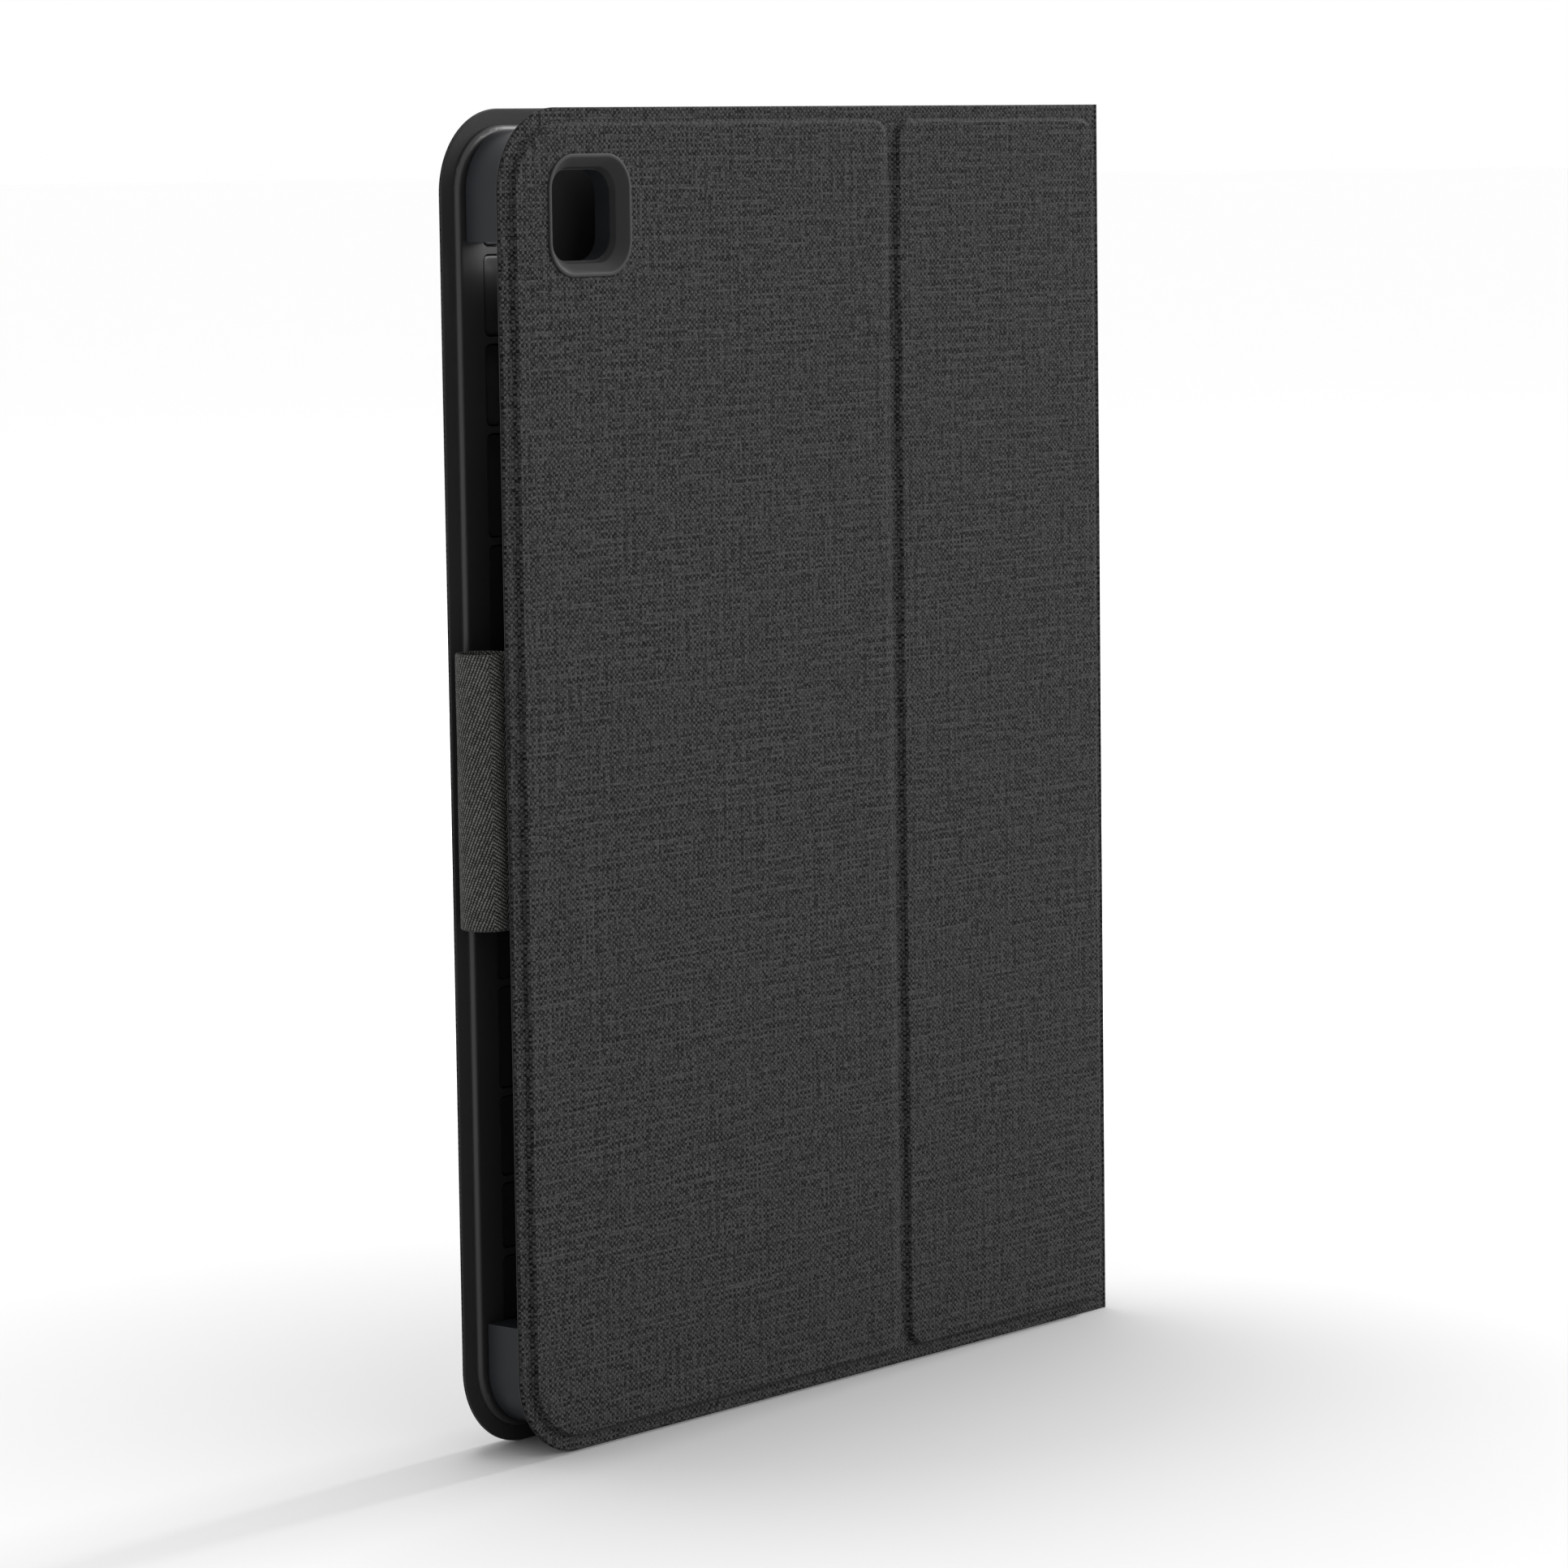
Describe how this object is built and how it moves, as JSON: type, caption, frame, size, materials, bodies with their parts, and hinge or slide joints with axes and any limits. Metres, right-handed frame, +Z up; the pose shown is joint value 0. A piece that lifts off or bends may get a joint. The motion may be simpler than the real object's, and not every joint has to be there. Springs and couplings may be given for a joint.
{
  "type": "tablet keyboard case",
  "caption": "Fabric folio case for a tablet: ribbed tray with corner holders, camera window, elastic stylus sleeve, hinged spine and a keyboard cover with travelling keys.",
  "frame": {"origin": "bottom centre of the closed case's box, on the surface that its short edge stands on", "axes": "+Z up along the tall side of the closed case, +X from the open edge to the spine, +Y from the back cover to the keyboard cover"},
  "size_m": [0.1913, 0.0198, 0.262],
  "materials": {
    "woven_fabric": "heathered weave",
    "smooth_lining": "smooth microfibre",
    "board": "uncoated sheet",
    "tray_plastic": "satin moulded",
    "ring_plastic": "satin moulded",
    "foam": "adhesive foam",
    "magnet": "nickel plated",
    "elastic_webbing": "herringbone elastic webbing",
    "deck_plastic": "fine texture",
    "key_plastic": "fine texture",
    "soft_strip": "soft touch",
    "circuit": "laminate",
    "cell_steel": "nickel plated",
    "spring_metal": "plated",
    "membrane": "film",
    "light_pipe": "translucent",
    "knob_plastic": "satin"
  },
  "bodies": {
    "back_cover": {"back_fabric": "woven_fabric", "back_lining": "smooth_lining", "main_board": "board", "fold_board": "board", "camera_ring": "ring_plastic", "bonding_pad": "foam", "tablet_tray": "tray_plastic", "tray_magnets": "magnet", "corner_lower_open": "tray_plastic", "corner_upper_open": "tray_plastic", "corner_lower_spine": "tray_plastic", "corner_upper_spine": "tray_plastic", "stylus_sleeve": "elastic_webbing"},
    "spine": {"spine_fabric": "woven_fabric", "spine_board": "board", "spine_lining": "smooth_lining"},
    "keyboard_cover": {"front_fabric": "woven_fabric", "front_lining": "smooth_lining", "base_plate": "board", "keyboard_deck": "deck_plastic", "rest_strip": "soft_strip", "strip_magnets": "magnet", "key_membrane": "membrane", "circuit_board": "circuit", "coin_cells": "cell_steel", "battery_contacts": "spring_metal", "switch_body": "knob_plastic", "status_light": "light_pipe", "wake_magnet": "magnet"},
    "power_switch": {"power_switch": "knob_plastic"},
    "battery_lid": {"battery_lid": "deck_plastic"},
    "arrow_down_key": {"arrow_down_key": "key_plastic"},
    "arrow_left_key": {"arrow_left_key": "key_plastic"},
    "arrow_right_key": {"arrow_right_key": "key_plastic"},
    "arrow_up_key": {"arrow_up_key": "key_plastic"},
    "caps_key": {"caps_key": "key_plastic"},
    "delete_key": {"delete_key": "key_plastic"},
    "front_row_keys": {"front_row_keys": "key_plastic"},
    "function_row_keys": {"function_row_keys": "key_plastic"},
    "home_row_keys": {"home_row_keys": "key_plastic"},
    "left_shift_key": {"left_shift_key": "key_plastic"},
    "lower_row_keys": {"lower_row_keys": "key_plastic"},
    "number_row_keys": {"number_row_keys": "key_plastic"},
    "return_key": {"return_key": "key_plastic"},
    "right_shift_key": {"right_shift_key": "key_plastic"},
    "space_bar": {"space_bar": "key_plastic"},
    "tab_key": {"tab_key": "key_plastic"},
    "upper_row_keys": {"upper_row_keys": "key_plastic"}
  },
  "joints": [
    {"name": "spine_hinge", "type": "hinge", "parent": "back_cover", "child": "spine", "pos_m": [0.09515, -0.00785, 0.131], "axis": [0, 0, -1], "range_deg": [0, 180]},
    {"name": "cover_hinge", "type": "hinge", "parent": "spine", "child": "keyboard_cover", "pos_m": [0.09515, 0.00715, 0.131], "axis": [0, 0, -1], "range_deg": [0, 180]},
    {"name": "power_switch_slide", "type": "slide", "parent": "keyboard_cover", "child": "power_switch", "axis": [0, 0, 1], "range_m": [0, 0.0024]},
    {"name": "battery_lid_slide", "type": "slide", "parent": "keyboard_cover", "child": "battery_lid", "axis": [1, 0, 0], "range_m": [0, 0.003]},
    {"name": "arrow_down_key_press", "type": "slide", "parent": "keyboard_cover", "child": "arrow_down_key", "axis": [0, 1, 0], "range_m": [0, 0.0012], "stiffness_N_per_m": 400},
    {"name": "arrow_left_key_press", "type": "slide", "parent": "keyboard_cover", "child": "arrow_left_key", "axis": [0, 1, 0], "range_m": [0, 0.0012], "stiffness_N_per_m": 400},
    {"name": "arrow_right_key_press", "type": "slide", "parent": "keyboard_cover", "child": "arrow_right_key", "axis": [0, 1, 0], "range_m": [0, 0.0012], "stiffness_N_per_m": 400},
    {"name": "arrow_up_key_press", "type": "slide", "parent": "keyboard_cover", "child": "arrow_up_key", "axis": [0, 1, 0], "range_m": [0, 0.0012], "stiffness_N_per_m": 400},
    {"name": "caps_key_press", "type": "slide", "parent": "keyboard_cover", "child": "caps_key", "axis": [0, 1, 0], "range_m": [0, 0.0012], "stiffness_N_per_m": 400},
    {"name": "delete_key_press", "type": "slide", "parent": "keyboard_cover", "child": "delete_key", "axis": [0, 1, 0], "range_m": [0, 0.0012], "stiffness_N_per_m": 400},
    {"name": "front_row_keys_press", "type": "slide", "parent": "keyboard_cover", "child": "front_row_keys", "axis": [0, 1, 0], "range_m": [0, 0.0012], "stiffness_N_per_m": 2400},
    {"name": "function_row_keys_press", "type": "slide", "parent": "keyboard_cover", "child": "function_row_keys", "axis": [0, 1, 0], "range_m": [0, 0.0012], "stiffness_N_per_m": 5600},
    {"name": "home_row_keys_press", "type": "slide", "parent": "keyboard_cover", "child": "home_row_keys", "axis": [0, 1, 0], "range_m": [0, 0.0012], "stiffness_N_per_m": 4400},
    {"name": "left_shift_key_press", "type": "slide", "parent": "keyboard_cover", "child": "left_shift_key", "axis": [0, 1, 0], "range_m": [0, 0.0012], "stiffness_N_per_m": 400},
    {"name": "lower_row_keys_press", "type": "slide", "parent": "keyboard_cover", "child": "lower_row_keys", "axis": [0, 1, 0], "range_m": [0, 0.0012], "stiffness_N_per_m": 4000},
    {"name": "number_row_keys_press", "type": "slide", "parent": "keyboard_cover", "child": "number_row_keys", "axis": [0, 1, 0], "range_m": [0, 0.0012], "stiffness_N_per_m": 5200},
    {"name": "return_key_press", "type": "slide", "parent": "keyboard_cover", "child": "return_key", "axis": [0, 1, 0], "range_m": [0, 0.0012], "stiffness_N_per_m": 400},
    {"name": "right_shift_key_press", "type": "slide", "parent": "keyboard_cover", "child": "right_shift_key", "axis": [0, 1, 0], "range_m": [0, 0.0012], "stiffness_N_per_m": 400},
    {"name": "space_bar_press", "type": "slide", "parent": "keyboard_cover", "child": "space_bar", "axis": [0, 1, 0], "range_m": [0, 0.0012], "stiffness_N_per_m": 400},
    {"name": "tab_key_press", "type": "slide", "parent": "keyboard_cover", "child": "tab_key", "axis": [0, 1, 0], "range_m": [0, 0.0012], "stiffness_N_per_m": 400},
    {"name": "upper_row_keys_press", "type": "slide", "parent": "keyboard_cover", "child": "upper_row_keys", "axis": [0, 1, 0], "range_m": [0, 0.0012], "stiffness_N_per_m": 5200}
  ]
}
